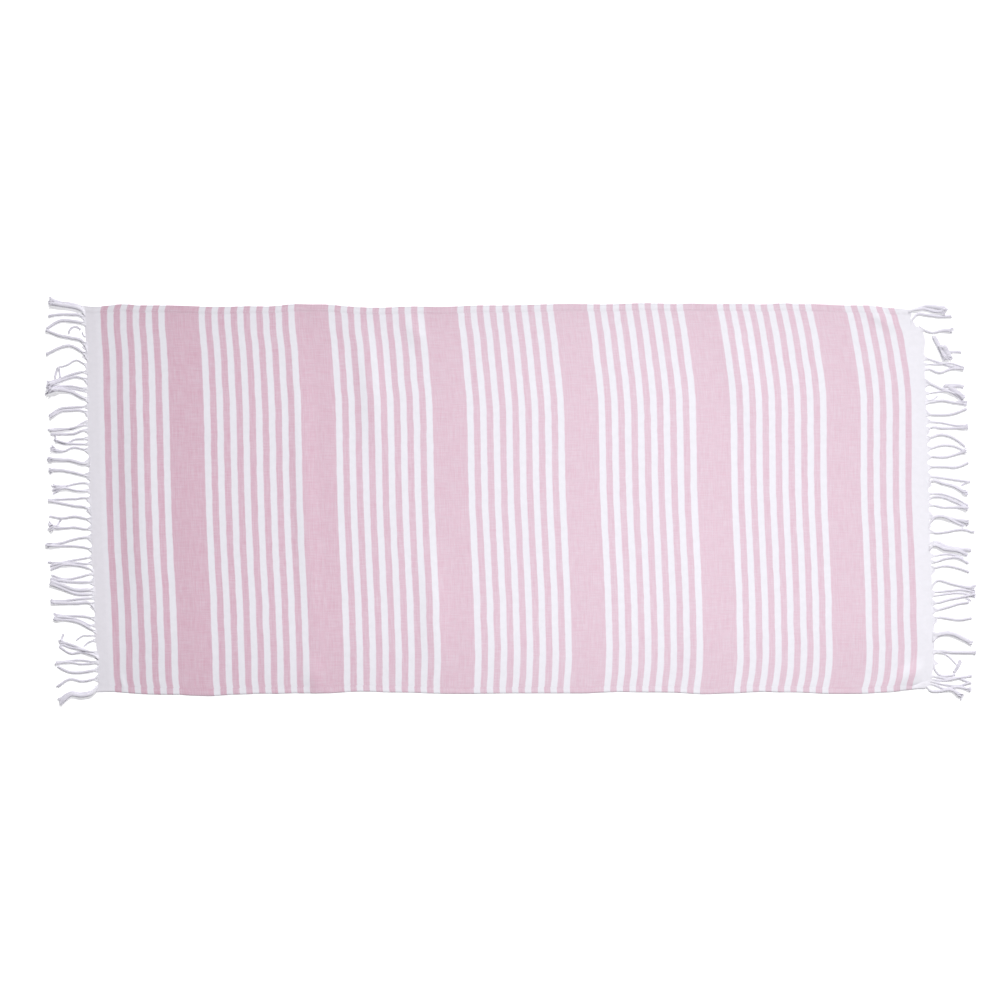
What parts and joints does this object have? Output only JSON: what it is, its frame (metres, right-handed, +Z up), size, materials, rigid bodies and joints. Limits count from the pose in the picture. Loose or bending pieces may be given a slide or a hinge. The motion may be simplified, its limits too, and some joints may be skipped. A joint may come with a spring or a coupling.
{
  "type": "beach towel",
  "caption": "Flat-woven striped beach towel laid out flat, with narrow hems along its long edges and a fringe of twisted tassels at each short end.",
  "frame": {"origin": "on the surface that the towel lies on, under the middle of its box", "axes": "+X along the towel's length, +Y across it to the edge that is uppermost in the picture, +Z up from the surface"},
  "size_m": [1.891, 0.818, 0.0087],
  "materials": {
    "striped_cotton": "plain-woven cotton, white warp with pink and white weft, matte",
    "cotton_yarn": "undyed white cotton yarn, loosely twisted, matte"
  },
  "bodies": {
    "root": {"cloth": "striped_cotton", "fringe_left": "cotton_yarn", "fringe_right": "cotton_yarn"}
  },
  "joints": []
}
